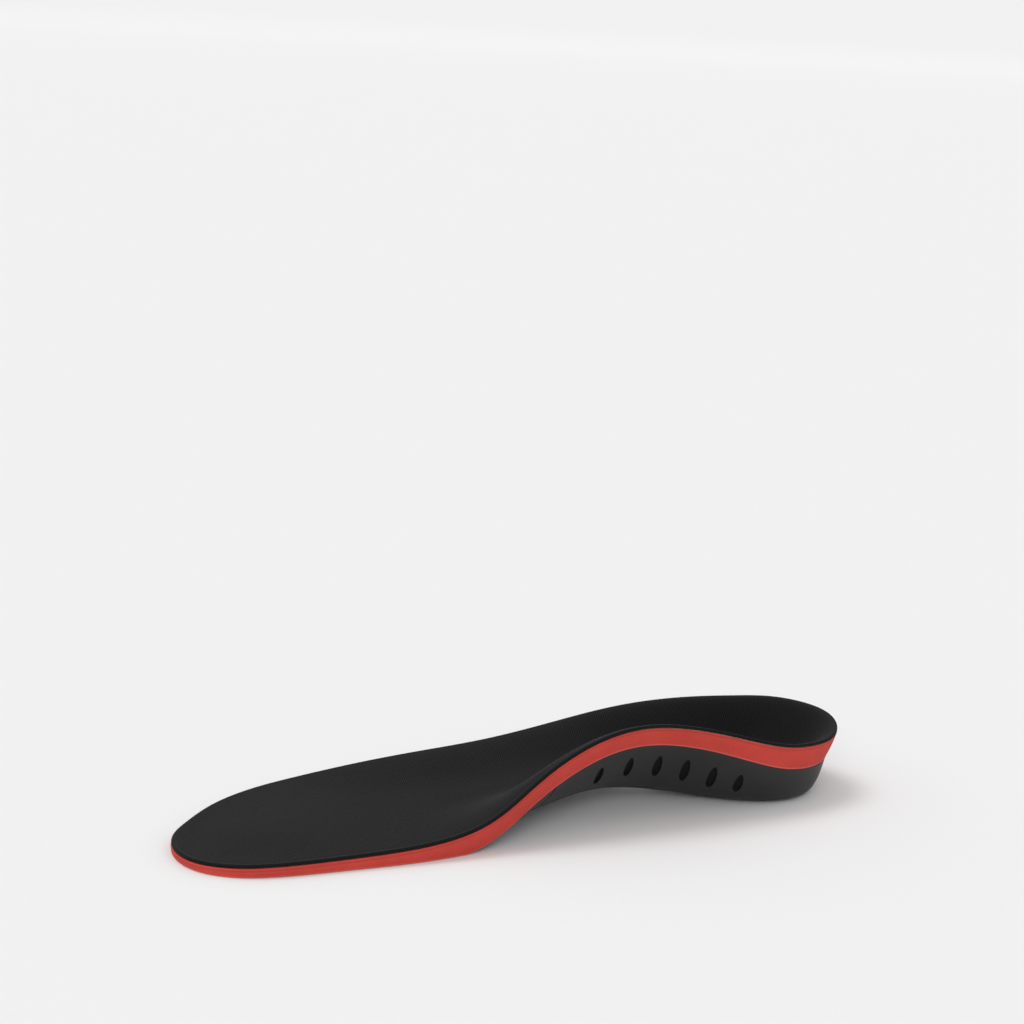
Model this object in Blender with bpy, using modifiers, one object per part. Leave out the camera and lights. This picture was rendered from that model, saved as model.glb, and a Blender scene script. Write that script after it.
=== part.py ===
"""Cushioned insole for a right shoe: fabric top cover, full-length foam, rigid arch shell and two pads.

Frame, in metres: +X points from the toes to the heel, -Y is the inner (medial) side of the foot, +Z is up.
The origin is the centre of the bounding box's bottom face, and the insole stands on its heel pad and
its forefoot. The plan below is drawn from the line through the heel's centre, which lies at HEEL_LINE_Y.
The toe end is a body of its own, hinged to the rest along the toe flex line.
"""
import math

import bmesh
import bpy
import numpy as np

MM = 0.001

# Driving dimensions, in millimetres.
LENGTH = 270.0
COVER_THICKNESS = 1.0
FILM_THICKNESS = 0.2
LAYER_GAP = 0.2
SHELL_THICKNESS = 1.8
ARCH_LIFT = 4.7
ARCH_SPAN = (-30.0, 87.0)
HEEL_LINE_Y = -2.4
PAD_PROUD = 0.4
FIT_GAP = 0.3
FOREFOOT_PAD_THICKNESS = 1.5

# The row of vents, from the heel towards the toes: its spacing grows, and its longest vents stand nearest
# the middle line at LONGEST_AT of the way along it.
VENT_COUNT = 6
VENT_WIDTH = 3.2
VENT_DEPTH = 1.3
VENT_LONGEST = 15.6
VENT_SHORTENING = 12.0
LONGEST_AT = 0.7
FIRST_VENT_X = 78.3
VENT_RUN = (48.0, 9.4)
VENT_ROW_Y = -22.7
VENT_ROW_BOW = 11.5
VENT_LEAN = (13.0, 11.0)
LEAN_TURN = 0.75 * math.pi

# The toe flex line: a point on it, its direction seen from above, and the slot that it leaves.
FLEX_X = -101.5
FLEX_HEIGHT = 5.7
FLEX_DIRECTION = (0.18, 0.98)
FLEX_SLOT = 0.4

# Mesh density: rays round the outline, and rings from the middle line out to the rim.
FAN_RAYS = 13
SPINE_STEPS = 27
RINGS = (0.0, 0.3, 0.5, 0.67, 0.81, 0.92, 1.0)
HEEL_CENTRE = (100.0, 0.0)
TOE_CENTRE = (-92.0, -1.0)

# The foam's top edge: x, y and height of points round it, from the heel along the inner side to the toes
# and back along the outer side.
RIM = (
    (135, 0, 24.2), (127.1, -20.9, 22.9), (115.1, -30.3, 22.2), (95, -35.4, 23.5), (70, -35.9, 30),
    (35, -35.3, 36.3), (10, -36.3, 32.3), (-10, -38, 22.8), (-30, -41, 11.3), (-55, -42, 5.3),
    (-85, -40.2, 3.6), (-108, -38.4, 3.2), (-123.1, -33.8, 2.9), (-132.8, -23.8, 2.5), (-135, -9.2, 2.1),
    (-129.9, 6, 2), (-119.2, 18.6, 2.2), (-103.8, 32, 2.7), (-84, 42, 3.5), (-64, 46.8, 4.5),
    (-42, 45.5, 7.5), (-18, 41.8, 10.8), (8, 37.6, 14.2), (35, 35.4, 18.7), (65, 34.6, 23),
    (95, 32.6, 24.2), (115, 28.3, 24.1), (127.1, 21.1, 24.4),
)

# The shell's front edge, from beyond the outer side to beyond the inner side.
SHELL_FRONT = (
    (-8, 52), (-18.5, 38), (-29.5, 28.5), (-35.5, 18), (-37, 7), (-37, -8), (-39.5, -18), (-43.5, -25),
    (-45.5, -31), (-42, -37), (-32, -41), (-28, -52),
)

# Outlines of the two pads, as smooth closed curves through these points.
HEEL_PAD = (
    (114, 1), (108, -8.5), (96, -14.2), (84, -13.8), (73, -5.5), (62, 1.2), (53, 5.5), (50.5, 12),
    (56, 19.3), (70, 24.5), (86, 25.2), (99, 21), (109, 13),
)
FOREFOOT_PAD = (
    (-38, 32.5), (-44.5, 20.5), (-47.3, 8), (-48, -8), (-55, -22.5), (-68, -29.8), (-84, -33),
    (-95.5, -33.8), (-98.5, -29), (-95, -12), (-91.5, 6), (-87, 20.5), (-78, 30.3), (-66, 35),
    (-52, 36.3), (-41, 36.8),
)

# Profiles along the length: stations in x, and the value at each.
STATIONS = (-135, -100, -60, -30, 0, 35, 65, 95, 135)
MIDDLE_HEIGHT = (3.5, 3.9, 4.6, 6.2, 9.0, 11.0, 10.2, 8.2, 8.0)
CUP_SHARPNESS = (3.0, 3.0, 3.0, 3.0, 3.1, 3.4, 5.2, 8.0, 9.0)
SIDE_BAND = (4.2, 4.8, 6.2, 8.4, 7.8, 6.8, 7.1, 8.0, 8.5)
EDGE_INSET = (0.4, 0.4, 0.8, 3.0, 2.8, 2.9, 2.8, 1.0, 4.9)
SOLE_POWER = (2.0, 2.0, 2.0, 2.2, 2.5, 1.6, 2.05, 3.1, 3.1)
SOLE_FLAT = (0.0, 0.0, 0.0, 0.1, 0.0, 0.0, 0.13, 0.62, 0.62)


def clear_scene():
    """Removes whatever the scene starts with."""
    for obj in list(bpy.data.objects):
        bpy.data.objects.remove(obj, do_unlink=True)


def collection(name):
    """A new collection in the scene."""
    made = bpy.data.collections.new(name)
    bpy.context.scene.collection.children.link(made)
    return made


def material(name, colour, roughness, metallic=0.0):
    """A Principled material."""
    made = bpy.data.materials.new(name)
    made.use_nodes = True
    shader = made.node_tree.nodes["Principled BSDF"]
    shader.inputs["Base Color"].default_value = (*colour, 1.0)
    shader.inputs["Roughness"].default_value = roughness
    shader.inputs["Metallic"].default_value = metallic
    return made


def spline(points, count, closed):
    """count points on the cubic spline through the given points, spaced evenly in its parameter.

    The parameter grows with the 0.6th power of each chord, which keeps tight turns round.
    """
    points = np.asarray(points, float)
    if closed:
        points = np.vstack([points, points[:1]])
    chords = np.linalg.norm(np.diff(points[:, :2], axis=0), axis=1) ** 0.6
    knots = np.concatenate([[0.0], np.cumsum(chords)])
    at = np.linspace(0.0, knots[-1], count, endpoint=not closed)
    return np.stack([cubic(at, knots, column, closed) for column in points.T], axis=1)


def cubic(at, knots, values, closed=False):
    """The cubic spline through values at knots: natural at its ends, or periodic if it is closed."""
    at = np.asarray(at, float)
    knots = np.asarray(knots, float)
    values = np.asarray(values, float)
    last = len(knots) - 1
    steps = np.diff(knots)
    slopes = np.diff(values) / steps
    matrix = np.eye(last + 1)
    right = np.zeros(last + 1)
    for i in range(1, last):
        matrix[i, i - 1:i + 2] = steps[i - 1], 2 * (steps[i - 1] + steps[i]), steps[i]
        right[i] = 6 * (slopes[i] - slopes[i - 1])
    if closed:
        matrix[0, -1] = -1.0
        matrix[last] = 0.0
        matrix[last, [0, 1, last - 1]] = 2 * steps[0], steps[0], steps[-1]
        matrix[last, last] = 2 * steps[-1]
        right[last] = 6 * (slopes[0] - slopes[-1])
    bend = np.linalg.solve(matrix, right)
    k = np.clip(np.searchsorted(knots, at, side="right") - 1, 0, last - 1)
    b = (at - knots[k]) / steps[k]
    a = 1 - b
    curve = (a**3 - a) * bend[k] + (b**3 - b) * bend[k + 1]
    return a * values[k] + b * values[k + 1] + curve * steps[k] ** 2 / 6


def along(x, values):
    """A profile's value at x."""
    return cubic(np.clip(x, STATIONS[0], STATIONS[-1]), STATIONS, values)


def outline_rays():
    """Rays from the middle line to the rim: their starts (x, y) and ends (x, y, height).

    They fan out from the heel's centre and the toes' centre, and run straight across between them.
    """
    rim = spline(RIM, 1600, closed=True)
    fan = np.linspace(-90.0, 90.0, FAN_RAYS)
    xs = np.linspace(HEEL_CENTRE[0], TOE_CENTRE[0], SPINE_STEPS + 1)[1:-1]

    def fanned(centre, turn):
        angles = np.degrees(np.arctan2(rim[:, 1] - centre[1], rim[:, 0] - centre[0]))
        order = np.argsort(angles)
        ends = [np.interp(fan + turn, angles[order], rim[order, k], period=360) for k in range(3)]
        return np.tile(centre, (FAN_RAYS, 1)), np.stack(ends, axis=1)

    def across(side, stations):
        half = rim[rim[:, 1] * side > 0]
        half = half[np.argsort(half[:, 0])]
        ends = [np.interp(stations, half[:, 0], half[:, k]) for k in range(3)]
        middle = np.interp(stations, (TOE_CENTRE[0], HEEL_CENTRE[0]), (TOE_CENTRE[1], HEEL_CENTRE[1]))
        return np.stack([stations, middle], axis=1), np.stack(ends, axis=1)

    pieces = (fanned(HEEL_CENTRE, 0.0), across(1, xs), fanned(TOE_CENTRE, 180.0), across(-1, xs[::-1]))
    return np.vstack([p[0] for p in pieces]), np.vstack([p[1] for p in pieces])


def top_points(rings=RINGS):
    """The foam's upper surface on every ray and ring.

    It rises from the middle line to the rim with a power of a sine, so the rim is a rounded lip.
    """
    start, end = outline_rays()
    ring = np.asarray(rings)[None, :]
    plan = start[:, None, :] + (end[:, None, :2] - start[:, None, :]) * ring[..., None]
    middle = along(plan[..., 0], MIDDLE_HEIGHT)
    rise = np.sin(ring * math.pi / 2) ** along(plan[..., 0], CUP_SHARPNESS)
    height = middle + (end[:, None, 2] - middle) * rise
    return np.concatenate([plan, height[..., None]], axis=-1)


def sole_points(rings=RINGS):
    """The outer underside on every ray and ring: flat in the middle, then rising as a power of the ring.

    Its edge lies a side band below the rim and a little inside it, and the middle lifts under the arch.
    """
    start, end = outline_rays()
    ring = np.asarray(rings)[None, :]
    reach = np.linalg.norm(end[:, :2] - start, axis=1)
    shrink = 1 - along(end[:, 0], EDGE_INSET) / reach
    plan = start[:, None, :] + (end[:, None, :2] - start[:, None, :]) * (ring * shrink[:, None])[..., None]
    x = plan[..., 0]
    edge = np.maximum(end[:, 2] - along(end[:, 0], SIDE_BAND), 0.0)[:, None]
    lift = np.clip((x - ARCH_SPAN[0]) / (ARCH_SPAN[1] - ARCH_SPAN[0]), 0.0, 1.0)
    proud = PAD_PROUD * np.clip((x - ARCH_SPAN[0]) / -ARCH_SPAN[0], 0.0, 1.0)
    middle = ARCH_LIFT * np.sin(math.pi * lift) ** 2 + proud
    flat = np.maximum(along(x, SOLE_FLAT), 0.0)
    rise = np.clip((ring - flat) / (1 - flat), 0.0, None) ** along(x, SOLE_POWER)
    height = middle + (np.maximum(edge, middle) - middle) * rise
    return np.concatenate([plan, height[..., None]], axis=-1)


def sheet_mesh(points, offset=0.0, turn=None):
    """A triangle mesh through points[ray, ring], moved by offset along its upward normals.

    From ring number turn on, the surface runs back inwards and closes a body. The quads there are split
    the other way, so that they match the same surface run outwards.
    """
    rays, rings = points.shape[:2]
    mesh = bmesh.new()
    bmesh.ops.create_grid(mesh, x_segments=rays, y_segments=rings - 1, size=0.5)
    turned = 0.5 if turn is None else turn / (rings - 1) - 0.5
    back = [face for face in mesh.faces if face.calc_center_median().y > turned]
    out = [face for face in mesh.faces if face.calc_center_median().y <= turned]
    for vert in mesh.verts:
        ray = round((vert.co.x + 0.5) * rays) % rays
        ring = round((vert.co.y + 0.5) * (rings - 1))
        vert.co = points[ray, ring] * MM
    bmesh.ops.triangulate(mesh, faces=out, quad_method="FIXED")
    bmesh.ops.triangulate(mesh, faces=back, quad_method="ALTERNATE")
    bmesh.ops.remove_doubles(mesh, verts=mesh.verts[:], dist=0.01 * MM)
    bmesh.ops.recalc_face_normals(mesh, faces=mesh.faces[:])
    mesh.normal_update()
    if turn is None and sum(face.normal.z for face in mesh.faces) < 0:
        bmesh.ops.reverse_faces(mesh, faces=mesh.faces[:])
        mesh.normal_update()
    normals = [vert.normal.copy() for vert in mesh.verts]
    for vert, normal in zip(mesh.verts, normals):
        vert.co += normal * offset * MM
    return mesh


def empty(name, location, parent=None):
    """An empty at a place in millimetres, measured from its parent."""
    made = bpy.data.objects.new(name, None)
    made.location = np.array(location) * MM
    made.parent = parent
    parts.objects.link(made)
    return made


def to_object(name, mesh, into, finish=None):
    """An object from a bmesh, linked into a collection and placed on the heel line."""
    data = bpy.data.meshes.new(name)
    mesh.to_mesh(data)
    mesh.free()
    obj = bpy.data.objects.new(name, data)
    obj.parent = heel_line
    into.objects.link(obj)
    if finish:
        data.materials.append(finish)
        data.shade_smooth()
    return obj


def layer(name, points, low, high, into, finish=None):
    """A solid sheet between two offsets of one surface, thickened upward with Solidify."""
    obj = to_object(name, sheet_mesh(points, low), into, finish)
    thicken = obj.modifiers.new("thickness", "SOLIDIFY")
    thicken.thickness = (high - low) * MM
    thicken.offset = 1.0
    return obj


def prism(name, outline, bottom, top, into, finish=None):
    """An upright block with the given outline."""
    mesh = bmesh.new()
    corners = [mesh.verts.new((x * MM, y * MM, bottom * MM)) for x, y in outline]
    base = mesh.faces.new(corners)
    if base.normal.z > 0:
        base.normal_flip()
    grown = bmesh.ops.extrude_face_region(mesh, geom=[base])["geom"]
    lifted = [item for item in grown if isinstance(item, bmesh.types.BMVert)]
    bmesh.ops.translate(mesh, verts=lifted, vec=(0, 0, (top - bottom) * MM))
    bmesh.ops.recalc_face_normals(mesh, faces=mesh.faces[:])
    return to_object(name, mesh, into, finish)


def grown(outline, by):
    """A closed outline moved outwards by a distance."""
    outline = np.asarray(outline)
    tangent = np.roll(outline, -1, axis=0) - np.roll(outline, 1, axis=0)
    tangent /= np.linalg.norm(tangent, axis=1, keepdims=True)
    x, y = outline.T
    turn = np.sign(np.sum(x * np.roll(y, -1) - y * np.roll(x, -1)))
    return outline + by * turn * np.stack([tangent[:, 1], -tangent[:, 0]], axis=1)


def combine(obj, other, operation="DIFFERENCE"):
    """Adds an exact Boolean to obj, and makes the other object a hidden cutter."""
    boolean = obj.modifiers.new(f"{operation.lower()} {other.name}", "BOOLEAN")
    boolean.operation = operation
    boolean.solver = "EXACT"
    boolean.object = other
    other.hide_render = True
    other.display_type = "WIRE"


def half_space(name, ahead, into):
    """A block that covers everything on one side of the toe flex line, up to half the slot beyond it."""
    along_line = np.array(FLEX_DIRECTION) / np.hypot(*FLEX_DIRECTION)
    forward = np.array([-along_line[1], along_line[0]])
    side = 1 if ahead else -1
    near = np.array([FLEX_X, 0.0]) - side * forward * FLEX_SLOT / 2
    far = near + side * forward * 2 * LENGTH
    corners = [near - 100 * along_line, near + 100 * along_line, far + 100 * along_line, far - 100 * along_line]
    return prism(name, corners, -30.0, 80.0, into)


def front_block(name, shift, into):
    """A block that covers everything ahead of the shell's front edge, moved by shift along x."""
    edge = spline(SHELL_FRONT, 40, closed=False) + (shift, 0.0)
    corners = np.vstack([edge, [(-2 * LENGTH, edge[-1, 1]), (-2 * LENGTH, edge[0, 1])]])
    return prism(name, corners, -30.0, 80.0, into)


def flexing_pair(name, make):
    """A layer that crosses the flex line, made twice and trimmed to its rear part and its toe part."""
    rear = make(f"{name}_rear")
    combine(rear, ahead_of_flex)
    toe = make(f"{name}_toe")
    combine(toe, behind_flex)
    toe.parent = toe_hinge
    toe.location = -toe_hinge.location


def foam_blank(name):
    """The full-length foam: the upper surface out to the rim, then the outer underside back inwards."""
    points = np.concatenate([top_points(), sole_points()[:, ::-1]], axis=1)
    foam = to_object(name, sheet_mesh(points, turn=len(RINGS)), parts, red_foam)
    combine(foam, recess)
    combine(foam, pad_pocket)
    return foam


def vent_cutters():
    """Oval cutters for the row of vents, each lying on the inner flank with its long axis up the slope."""
    surface = sheet_mesh(sole_points(np.linspace(0.0, 1.0, 25)))
    surface.normal_update()
    places = np.array([vert.co for vert in surface.verts]) / MM
    normals = np.array([vert.normal for vert in surface.verts])
    surface.free()
    cutters = []
    for number in range(VENT_COUNT):
        share = number / (VENT_COUNT - 1)
        x = FIRST_VENT_X - VENT_RUN[0] * share - VENT_RUN[1] * share**2
        y = VENT_ROW_Y - VENT_ROW_BOW * (share - LONGEST_AT) ** 2
        length = VENT_LONGEST - VENT_SHORTENING * (share - LONGEST_AT) ** 2
        nearest = np.argsort(np.hypot(places[:, 0] - x, places[:, 1] - y))[:6]
        weight = 1 / (np.hypot(places[nearest, 0] - x, places[nearest, 1] - y) + 0.5)
        height = np.sum(places[nearest, 2] * weight) / weight.sum()
        outward = -np.sum(normals[nearest] * weight[:, None], axis=0)
        outward /= np.linalg.norm(outward)
        lean = -math.radians(VENT_LEAN[0] + VENT_LEAN[1] * math.sin(LEAN_TURN * share))
        up = np.array([math.sin(lean), -math.cos(lean), 0.0])
        up[2] = -up.dot(outward) / outward[2]
        up /= np.linalg.norm(up)
        side = np.cross(up, outward)
        mesh = bmesh.new()
        bmesh.ops.create_uvsphere(mesh, u_segments=14, v_segments=8, radius=MM)
        axes = np.stack([side * VENT_WIDTH / 2, up * length / 2, outward * VENT_DEPTH], axis=1)
        for vert in mesh.verts:
            vert.co = axes @ np.array(vert.co) + np.array([x, y, height]) * MM
        cutters.append(to_object(f"vent_cutter_{number + 1}", mesh, guides))
    return cutters


clear_scene()
parts = collection("cushioned_insole")
guides = collection("cutters")
heel_line = empty("heel_line", (0.0, HEEL_LINE_Y, 0.0))
toe_hinge = empty("toe_hinge", (FLEX_X, 0.0, FLEX_HEIGHT), heel_line)

black_cloth = material("black_cloth", (0.022, 0.021, 0.022), 0.9)
red_foam = material("red_foam", (0.42, 0.055, 0.045), 0.75)
dark_shell = material("dark_shell", (0.022, 0.021, 0.022), 0.45)
white_pad = material("white_pad", (0.85, 0.84, 0.84), 0.7)
clear_film = material("clear_film", (0.6, 0.58, 0.52), 0.35)

film_low = LAYER_GAP
film_high = film_low + FILM_THICKNESS
cover_low = film_high + LAYER_GAP
shell_film_low = SHELL_THICKNESS + LAYER_GAP
shell_film_high = shell_film_low + FILM_THICKNESS
foam_seat = shell_film_high + LAYER_GAP
pad_film_low = FOREFOOT_PAD_THICKNESS + LAYER_GAP
pad_film_high = pad_film_low + FILM_THICKNESS
pad_seat = pad_film_high + LAYER_GAP

heel_outline = spline(HEEL_PAD, 44, closed=True)
forefoot_outline = spline(FOREFOOT_PAD, 48, closed=True)

# Cutters.
ahead_of_flex = half_space("ahead_of_flex", True, guides)
behind_flex = half_space("behind_flex", False, guides)
shell_front = front_block("shell_front", 0.0, guides)
film_front = front_block("film_front", 1.5, guides)
recess_front = front_block("recess_front", -FIT_GAP, guides)
recess = layer("shell_recess", sole_points(RINGS[:-1] + (1.012,)), -9.0, foam_seat, guides)
combine(recess, recess_front)
window = prism("heel_window", grown(heel_outline, FIT_GAP), -20.0, 40.0, guides)
pad_pocket = prism("forefoot_pocket", grown(forefoot_outline, FIT_GAP), -5.0, pad_seat, guides)
heel_pad_trim = prism("heel_pad_trim", heel_outline, -20.0, 40.0, guides)

# The top cover, the film that bonds it, and the foam, each in its rear part and its toe part.
flexing_pair(
    "top_cover",
    lambda name: layer(name, top_points(), cover_low, cover_low + COVER_THICKNESS, parts, black_cloth),
)
flexing_pair(
    "cover_adhesive",
    lambda name: layer(name, top_points(), film_low, film_high, parts, clear_film),
)
flexing_pair("foam_base", foam_blank)

# The arch shell with its row of blind vents and its heel window.
shell = layer("arch_shell", sole_points(), 0.0, SHELL_THICKNESS, parts, dark_shell)
combine(shell, shell_front)
combine(shell, window)
for cutter in vent_cutters():
    combine(shell, cutter)

# The film that bonds the shell and the heel pad to the foam.
shell_film = layer(
    "shell_adhesive", sole_points(RINGS[:-1]), shell_film_low, shell_film_high, parts, clear_film
)
combine(shell_film, film_front)

# The heel pad stands a little proud of the shell, in the shell's window.
heel_pad = layer("heel_pad", sole_points(), -PAD_PROUD, SHELL_THICKNESS, parts, white_pad)
combine(heel_pad, heel_pad_trim, "INTERSECT")

# The forefoot pad and its film lie in a pocket in the foam's underside.
prism("forefoot_pad", forefoot_outline, 0.0, FOREFOOT_PAD_THICKNESS, parts, white_pad)
prism(
    "forefoot_pad_adhesive", grown(forefoot_outline, -1.0), pad_film_low, pad_film_high, parts, clear_film
)
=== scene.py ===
"""Cushioned insole for a right shoe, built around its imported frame.

+X points from the toes to the heel, -Y to the inner side of the foot, +Z up, in metres. Plans and heights
below are in millimetres, with the plan measured from the line through the heel's centre.
The sections follow the insole as it is made: the red foam, the dark arch shell, the two white pads, the
adhesive films and the cloth on top, then the table it lies on, the light and the camera.
"""
import math

import bmesh
import bpy
import numpy as np
from mathutils import Matrix, Vector


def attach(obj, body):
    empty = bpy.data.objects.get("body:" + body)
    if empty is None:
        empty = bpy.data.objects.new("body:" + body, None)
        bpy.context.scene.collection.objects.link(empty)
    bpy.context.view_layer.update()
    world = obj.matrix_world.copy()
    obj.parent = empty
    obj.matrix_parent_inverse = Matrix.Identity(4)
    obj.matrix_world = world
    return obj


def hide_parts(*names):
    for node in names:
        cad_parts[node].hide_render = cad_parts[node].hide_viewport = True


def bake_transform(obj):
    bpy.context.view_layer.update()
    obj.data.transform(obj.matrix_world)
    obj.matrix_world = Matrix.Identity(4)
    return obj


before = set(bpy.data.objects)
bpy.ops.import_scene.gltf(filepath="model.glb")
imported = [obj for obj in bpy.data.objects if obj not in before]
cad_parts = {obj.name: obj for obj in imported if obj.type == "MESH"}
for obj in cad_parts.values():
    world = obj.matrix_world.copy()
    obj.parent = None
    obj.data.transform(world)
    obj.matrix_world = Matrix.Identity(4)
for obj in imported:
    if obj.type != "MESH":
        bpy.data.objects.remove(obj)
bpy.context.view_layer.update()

# ---------------------------------------------------------------------------------------------------------
# Foam base: one full-length piece of red closed-cell foam, thick under the heel cup and thin at the toes.
# It is hot-pressed to the foot's shape and then trimmed, so its side is a plain cut band with a pressed
# line under the cloth and a thin skin at its lower edge.

MM = 0.001
HEEL_LINE_Y = -2.4
HEEL_CENTRE = np.array([100.0, 0.0])
TOE_CENTRE = np.array([-92.0, -1.0])

RIM = (
    (135, 0, 24.2), (127.1, -20.9, 22.9), (115.1, -30.3, 22.2), (95, -35.4, 23.5), (70, -35.9, 30),
    (35, -35.3, 36.3), (10, -36.3, 32.3), (-10, -38, 22.8), (-30, -41, 11.3), (-55, -42, 5.3),
    (-85, -40.2, 3.6), (-108, -38.4, 3.2), (-123.1, -33.8, 2.9), (-132.8, -23.8, 2.5), (-135, -9.2, 2.1),
    (-129.9, 6, 2), (-119.2, 18.6, 2.2), (-103.8, 32, 2.7), (-84, 42, 3.5), (-64, 46.8, 4.5),
    (-42, 45.5, 7.5), (-18, 41.8, 10.8), (8, 37.6, 14.2), (35, 35.4, 18.7), (65, 34.6, 23),
    (95, 32.6, 24.2), (115, 28.3, 24.1), (127.1, 21.1, 24.4),
)
SHELL_FRONT = (
    (-8, 52), (-18.5, 38), (-29.5, 28.5), (-35.5, 18), (-37, 7), (-37, -8), (-39.5, -18), (-43.5, -25),
    (-45.5, -31), (-42, -37), (-32, -41), (-28, -52),
)
FOREFOOT_PAD = (
    (-38, 32.5), (-44.5, 20.5), (-47.3, 8), (-48, -8), (-55, -22.5), (-68, -29.8), (-84, -33),
    (-95.5, -33.8), (-98.5, -29), (-95, -12), (-91.5, 6), (-87, 20.5), (-78, 30.3), (-66, 35),
    (-52, 36.3), (-41, 36.8),
)
STATIONS = (-135, -100, -60, -30, 0, 35, 65, 95, 135)
MIDDLE_HEIGHT = (3.5, 3.9, 4.6, 6.2, 9.0, 11.0, 10.2, 8.2, 8.0)
CUP_SHARPNESS = (3.0, 3.0, 3.0, 3.0, 3.1, 3.4, 5.2, 8.0, 9.0)
SIDE_BAND = (4.2, 4.8, 6.2, 8.4, 7.8, 6.8, 7.1, 8.0, 8.5)
EDGE_INSET = (0.4, 0.4, 0.8, 3.0, 2.8, 2.9, 2.8, 1.0, 4.9)
SOLE_POWER = (2.0, 2.0, 2.0, 2.2, 2.5, 1.6, 2.05, 3.1, 3.1)
SOLE_FLAT = (0.0, 0.0, 0.0, 0.1, 0.0, 0.0, 0.13, 0.62, 0.62)
ARCH_LIFT = 4.7
ARCH_SPAN = (-30.0, 87.0)
PAD_PROUD = 0.4


def cubic(at, knots, values, closed=False):
    """The cubic spline through values at knots: natural at its ends, or periodic if it is closed."""
    at, knots, values = (np.asarray(item, float) for item in (at, knots, values))
    last = len(knots) - 1
    steps = np.diff(knots)
    slopes = np.diff(values) / steps
    matrix = np.eye(last + 1)
    right = np.zeros(last + 1)
    for i in range(1, last):
        matrix[i, i - 1:i + 2] = steps[i - 1], 2 * (steps[i - 1] + steps[i]), steps[i]
        right[i] = 6 * (slopes[i] - slopes[i - 1])
    if closed:
        matrix[0, -1] = -1.0
        matrix[last] = 0.0
        matrix[last, [0, 1, last - 1]] = 2 * steps[0], steps[0], steps[-1]
        matrix[last, last] = 2 * steps[-1]
        right[last] = 6 * (slopes[0] - slopes[-1])
    bend = np.linalg.solve(matrix, right)
    k = np.clip(np.searchsorted(knots, at, side="right") - 1, 0, last - 1)
    b = (at - knots[k]) / steps[k]
    a = 1 - b
    curve = (a**3 - a) * bend[k] + (b**3 - b) * bend[k + 1]
    return a * values[k] + b * values[k + 1] + curve * steps[k] ** 2 / 6


def smooth_line(points, count, closed):
    """count points on the cubic spline through the points; its parameter grows as the chord to the 0.6."""
    points = np.asarray(points, float)
    if closed:
        points = np.vstack([points, points[:1]])
    chords = np.linalg.norm(np.diff(points[:, :2], axis=0), axis=1) ** 0.6
    knots = np.concatenate([[0.0], np.cumsum(chords)])
    at = np.linspace(0.0, knots[-1], count, endpoint=not closed)
    return np.stack([cubic(at, knots, column, closed) for column in points.T], axis=1)


def along(x, values):
    """A profile's value at x, from its values at the stations."""
    return cubic(np.clip(x, STATIONS[0], STATIONS[-1]), STATIONS, values)


rim_line = smooth_line(RIM, 4000, closed=True)


def middle_line(x):
    """The y of the middle line, straight between the two fan centres."""
    return np.interp(x, (TOE_CENTRE[0], HEEL_CENTRE[0]), (TOE_CENTRE[1], HEEL_CENTRE[1]))


def towards_rim(x, y):
    """For plan points, the start on the middle line and the rim point (x, y, height) that each lies towards.

    Between the fan centres the rim point has the same x; beyond them it has the same angle from the centre.
    """
    x, y = np.broadcast_arrays(np.asarray(x, float), np.asarray(y, float))
    start = np.stack([np.clip(x, TOE_CENTRE[0], HEEL_CENTRE[0]), middle_line(x)], axis=-1)
    end = np.empty(x.shape + (3,))
    for side in (-1, 1):
        half = rim_line[rim_line[:, 1] * side > 0]
        half = half[np.argsort(half[:, 0])]
        here = (y - start[..., 1]) * side >= 0
        for k in range(3):
            end[..., k] = np.where(here, np.interp(start[..., 0], half[:, 0], half[:, k]), end[..., k])
    for centre, here in ((HEEL_CENTRE, x > HEEL_CENTRE[0]), (TOE_CENTRE, x < TOE_CENTRE[0])):
        angles = np.arctan2(rim_line[:, 1] - centre[1], rim_line[:, 0] - centre[0])
        order = np.argsort(angles)
        turn = np.arctan2(y - centre[1], x - centre[0])
        for k in range(3):
            reach = np.interp(turn, angles[order], rim_line[order, k], period=2 * math.pi)
            end[..., k] = np.where(here, reach, end[..., k])
    return start, end


def top_height(x, y):
    """The foam's upper surface: from the middle height it rises to the rim with a power of a sine."""
    start, end = towards_rim(x, y)
    ring = np.hypot(x - start[..., 0], y - start[..., 1]) / np.linalg.norm(end[..., :2] - start, axis=-1)
    middle = along(x, MIDDLE_HEIGHT)
    rise = np.abs(np.sin(ring * math.pi / 2)) ** along(x, CUP_SHARPNESS)
    return middle + (end[..., 2] - middle) * rise


def sole_shrink(start, end):
    """How much nearer the sole's edge lies than the rim, as a share of the distance to the rim."""
    return 1 - along(end[..., 0], EDGE_INSET) / np.linalg.norm(end[..., :2] - start, axis=-1)


def sole_height(x, y):
    """The outer underside: flat in the middle, then rising as a power of the share of the way to its edge.

    The edge lies a side band below the rim, and the middle lifts by a squared sine under the arch.
    """
    start, end = towards_rim(x, y)
    reach = np.linalg.norm(end[..., :2] - start, axis=-1) * sole_shrink(start, end)
    ring = np.hypot(x - start[..., 0], y - start[..., 1]) / reach
    edge = np.maximum(end[..., 2] - along(end[..., 0], SIDE_BAND), 0.0)
    lift = np.clip((x - ARCH_SPAN[0]) / (ARCH_SPAN[1] - ARCH_SPAN[0]), 0.0, 1.0)
    proud = PAD_PROUD * np.clip((x - ARCH_SPAN[0]) / -ARCH_SPAN[0], 0.0, 1.0)
    middle = ARCH_LIFT * np.sin(math.pi * lift) ** 2 + proud
    flat = np.maximum(along(x, SOLE_FLAT), 0.0)
    rise = np.clip((ring - flat) / (1 - flat), 0.0, None) ** along(x, SOLE_POWER)
    return middle + (np.maximum(edge, middle) - middle) * rise


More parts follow.
